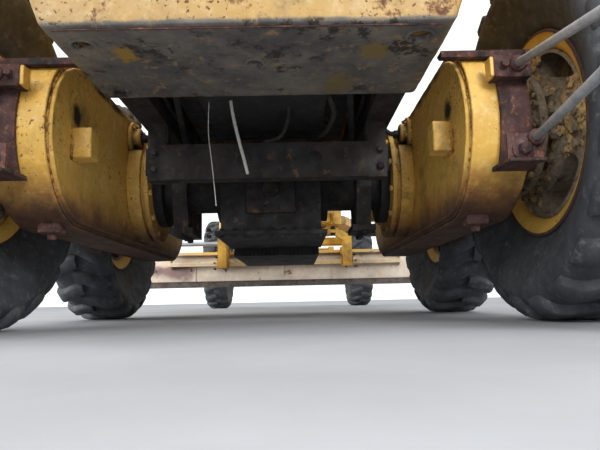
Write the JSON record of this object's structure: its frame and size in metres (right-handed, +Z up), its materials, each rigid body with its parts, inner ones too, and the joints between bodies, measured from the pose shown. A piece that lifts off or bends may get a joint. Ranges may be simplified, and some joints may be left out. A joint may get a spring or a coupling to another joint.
{
  "type": "motor grader",
  "caption": "Articulated road grader with a curved blade under an arched frame, leaning front wheels, rear tandem drive, enclosed cab and engine hood.",
  "frame": {"origin": "on the ground plane, under the middle of the overall length, in the machine's centre plane", "axes": "+X forward in the travel direction, +Y to the operator's left, +Z up"},
  "size_m": [8.52, 3.71, 3.25],
  "materials": {
    "yellow_paint": "satin, faded",
    "dark_paint": "matt",
    "worn_edge": "matt, scoured",
    "rust_paint": "matt, rusty",
    "pipe_zinc": "matt",
    "rod_chrome": "polished",
    "tyre": "matt",
    "rubber": "matt",
    "glass": "clear",
    "vinyl": "milky",
    "seat_cloth": "woven",
    "lamp_red": "gloss",
    "lamp_white": "clear"
  },
  "bodies": {
    "rear_body": {"rear_frame": "yellow_paint", "counterweight": "yellow_paint", "engine_block": "dark_paint", "drive_case": "dark_paint", "case_flanges": "yellow_paint", "hood": "yellow_paint", "rear_grille": "dark_paint", "exhaust": "dark_paint", "tandem_cases": "yellow_paint", "tandem_brackets": "rust_paint", "mudguard_stays": "pipe_zinc", "mud_flaps": "rubber", "cab_shell": "yellow_paint", "cab_glass": "glass", "seat": "seat_cloth", "controls": "dark_paint", "drain_hose": "vinyl", "rear_lamps": "lamp_red"},
    "door_left_body": {"door_left": "yellow_paint", "door_glass_left": "glass"},
    "door_right_body": {"door_right": "yellow_paint", "door_glass_right": "glass"},
    "front_body": {"front_frame": "yellow_paint", "head_lamps": "lamp_white", "front_axle": "yellow_paint"},
    "drawbar_body": {"drawbar": "yellow_paint"},
    "circle_body": {"circle": "yellow_paint"},
    "blade_body": {"moldboard": "yellow_paint", "cutting_edge": "worn_edge", "side_shift_rod": "rod_chrome"},
    "lift_barrels_body": {"lift_barrels": "yellow_paint"},
    "lift_rods_body": {"lift_rods": "rod_chrome"},
    "shift_barrel_body": {"centre_shift_barrel": "yellow_paint"},
    "shift_rod_body": {"centre_shift_rod": "rod_chrome"},
    "artic_barrel_left_body": {"articulation_barrel_left": "yellow_paint"},
    "artic_barrel_right_body": {"articulation_barrel_right": "yellow_paint"},
    "artic_rod_left_body": {"articulation_rod_left": "rod_chrome"},
    "artic_rod_right_body": {"articulation_rod_right": "rod_chrome"},
    "lean_barrel_body": {"lean_barrel": "yellow_paint"},
    "lean_rod_body": {"lean_rod": "rod_chrome"},
    "yoke_left_body": {"lean_yoke_left": "yellow_paint"},
    "yoke_right_body": {"lean_yoke_right": "yellow_paint"},
    "knuckle_left_body": {"knuckle_left": "dark_paint"},
    "knuckle_right_body": {"knuckle_right": "dark_paint"},
    "lean_bar_body": {"lean_bar": "yellow_paint"},
    "tie_end_body": {"tie_rod_end": "dark_paint"},
    "tie_rod_body": {"tie_rod": "dark_paint"},
    "wheel_front_left_body": {"tyre_front_left": "tyre", "rim_front_left": "yellow_paint"},
    "wheel_front_right_body": {"tyre_front_right": "tyre", "rim_front_right": "yellow_paint"},
    "wheel_mid_left_body": {"tyre_mid_left": "tyre", "rim_mid_left": "yellow_paint"},
    "wheel_mid_right_body": {"tyre_mid_right": "tyre", "rim_mid_right": "yellow_paint"},
    "wheel_rear_left_body": {"tyre_rear_left": "tyre", "rim_rear_left": "yellow_paint"},
    "wheel_rear_right_body": {"tyre_rear_right": "tyre", "rim_rear_right": "yellow_paint"}
  },
  "joints": [
    {"name": "articulation", "type": "hinge", "parent": "rear_body", "child": "front_body", "pos_m": [-0.16, 0, 1.065], "axis": [0, 0, 1], "range_deg": [-20, 20]},
    {"name": "drawbar_lift", "type": "hinge", "parent": "front_body", "child": "drawbar_body", "pos_m": [3.03, 0, 0.87], "axis": [0, 1, 0], "range_deg": [-9.5, 7.1]},
    {"name": "circle_turn", "type": "hinge", "parent": "drawbar_body", "child": "circle_body", "pos_m": [0.89, 0, 0.905], "axis": [0, 0, 1], "continuous": true},
    {"name": "blade_shift", "type": "slide", "parent": "circle_body", "child": "blade_body", "axis": [0, 1, 0], "range_m": [-0.38, 0.38]},
    {"name": "lean_left", "type": "hinge", "parent": "front_body", "child": "yoke_left_body", "pos_m": [3.39, 0.66, 0.545], "axis": [1, 0, 0], "range_deg": [-17, 17]},
    {"name": "lean_right", "type": "hinge", "parent": "front_body", "child": "yoke_right_body", "pos_m": [3.39, -0.66, 0.545], "axis": [1, 0, 0], "range_deg": [-17, 17]},
    {"name": "lean_bar_pin", "type": "hinge", "parent": "yoke_left_body", "child": "lean_bar_body", "pos_m": [3.53, 0.66, 0.865], "axis": [1, 0, 0], "range_deg": [-17, 17]},
    {"name": "steer_left", "type": "hinge", "parent": "yoke_left_body", "child": "knuckle_left_body", "pos_m": [3.39, 0.86, 0.665], "axis": [0, 0, 1], "range_deg": [-35, 35]},
    {"name": "steer_right", "type": "hinge", "parent": "yoke_right_body", "child": "knuckle_right_body", "pos_m": [3.39, -0.86, 0.665], "axis": [0, 0, 1], "range_deg": [-35, 35]},
    {"name": "tie_rod_pin", "type": "hinge", "parent": "knuckle_left_body", "child": "tie_end_body", "pos_m": [3.19, 0.86, 0.602], "axis": [0, 0, 1], "range_deg": [-35, 35]},
    {"name": "tie_rod_ball", "type": "hinge", "parent": "tie_end_body", "child": "tie_rod_body", "pos_m": [3.19, 0.86, 0.602], "axis": [1, 0, 0], "range_deg": [-17, 17]},
    {"name": "articulation_ram_left_swing", "type": "hinge", "parent": "rear_body", "child": "artic_barrel_left_body", "pos_m": [-0.82, 0.44, 1.115], "axis": [0, 0, 1], "range_deg": [-3.54, 3.54]},
    {"name": "articulation_ram_left_stroke", "type": "slide", "parent": "artic_barrel_left_body", "child": "artic_rod_left_body", "axis": [0.9864, -0.1644, 0], "range_m": [-0.1218, 0.1218]},
    {"name": "articulation_ram_right_swing", "type": "hinge", "parent": "rear_body", "child": "artic_barrel_right_body", "pos_m": [-0.82, -0.44, 1.115], "axis": [0, 0, 1], "range_deg": [-3.54, 3.54]},
    {"name": "articulation_ram_right_stroke", "type": "slide", "parent": "artic_barrel_right_body", "child": "artic_rod_right_body", "axis": [0.9864, 0.1644, 0], "range_m": [-0.1218, 0.1218]},
    {"name": "lift_ram_swing", "type": "hinge", "parent": "front_body", "child": "lift_barrels_body", "pos_m": [0.73, 0, 1.88], "axis": [0, 1, 0], "range_deg": [-2.06, 2.06]},
    {"name": "lift_ram_stroke", "type": "slide", "parent": "lift_barrels_body", "child": "lift_rods_body", "axis": [0, 0, -1], "range_m": [-0.3982, 0.3982]},
    {"name": "centre_shift_ram_swing", "type": "hinge", "parent": "front_body", "child": "shift_barrel_body", "pos_m": [0.56, -0.33, 1.722], "axis": [1, 0, 0], "range_deg": [-20.18, 20.18]},
    {"name": "centre_shift_ram_stroke", "type": "slide", "parent": "shift_barrel_body", "child": "shift_rod_body", "axis": [0, 0.7845, -0.6201], "range_m": [-0.261, 0.261]},
    {"name": "lean_ram_swing", "type": "hinge", "parent": "front_body", "child": "lean_barrel_body", "pos_m": [3.61, 0.25, 0.74], "axis": [1, 0, 0], "range_deg": [-1.31, 1.31]},
    {"name": "lean_ram_stroke", "type": "slide", "parent": "lean_barrel_body", "child": "lean_rod_body", "axis": [0, -0.9883, 0.1525], "range_m": [-0.1001, 0.1001]},
    {"name": "door_left_hinge", "type": "hinge", "parent": "rear_body", "child": "door_left_body", "pos_m": [-1.747, 0.664, 2], "axis": [0, 0, 1], "range_deg": [0, 80]},
    {"name": "door_right_hinge", "type": "hinge", "parent": "rear_body", "child": "door_right_body", "pos_m": [-1.747, -0.664, 2], "axis": [0, 0, -1], "range_deg": [0, 80]},
    {"name": "wheel_front_left_spin", "type": "hinge", "parent": "knuckle_left_body", "child": "wheel_front_left_body", "pos_m": [3.39, 1.06, 0.665], "axis": [0, 1, 0], "continuous": true},
    {"name": "wheel_front_right_spin", "type": "hinge", "parent": "knuckle_right_body", "child": "wheel_front_right_body", "pos_m": [3.39, -1.06, 0.665], "axis": [0, 1, 0], "continuous": true},
    {"name": "wheel_mid_left_spin", "type": "hinge", "parent": "rear_body", "child": "wheel_mid_left_body", "pos_m": [-1.7475, 1.06, 0.665], "axis": [0, 1, 0], "continuous": true},
    {"name": "wheel_mid_right_spin", "type": "hinge", "parent": "rear_body", "child": "wheel_mid_right_body", "pos_m": [-1.7475, -1.06, 0.665], "axis": [0, 1, 0], "continuous": true},
    {"name": "wheel_rear_left_spin", "type": "hinge", "parent": "rear_body", "child": "wheel_rear_left_body", "pos_m": [-3.2725, 1.06, 0.665], "axis": [0, 1, 0], "continuous": true},
    {"name": "wheel_rear_right_spin", "type": "hinge", "parent": "rear_body", "child": "wheel_rear_right_body", "pos_m": [-3.2725, -1.06, 0.665], "axis": [0, 1, 0], "continuous": true}
  ],
  "couplings": [
    {"joint": "lean_right", "follows": "lean_left", "ratio": 1},
    {"joint": "lean_bar_pin", "follows": "lean_left", "ratio": -1},
    {"joint": "steer_right", "follows": "steer_left", "ratio": 1},
    {"joint": "tie_rod_pin", "follows": "steer_left", "ratio": -1},
    {"joint": "tie_rod_ball", "follows": "lean_left", "ratio": -0.76744},
    {"joint": "articulation_ram_left_swing", "follows": "articulation", "ratio": 0.15178},
    {"joint": "articulation_ram_left_stroke", "follows": "articulation", "m_per_rad": -0.32684},
    {"joint": "articulation_ram_right_swing", "follows": "articulation", "ratio": 0.15178},
    {"joint": "articulation_ram_right_stroke", "follows": "articulation", "m_per_rad": 0.32684},
    {"joint": "lift_ram_swing", "follows": "drawbar_lift", "ratio": -0.17816},
    {"joint": "lift_ram_stroke", "follows": "drawbar_lift", "m_per_rad": -2.2757},
    {"joint": "centre_shift_ram_swing", "follows": "drawbar_lift", "ratio": 1.9118},
    {"joint": "centre_shift_ram_stroke", "follows": "drawbar_lift", "m_per_rad": -1.4876},
    {"joint": "lean_ram_swing", "follows": "lean_left", "ratio": 0.05928},
    {"joint": "lean_ram_stroke", "follows": "lean_left", "m_per_rad": 0.31474}
  ]
}
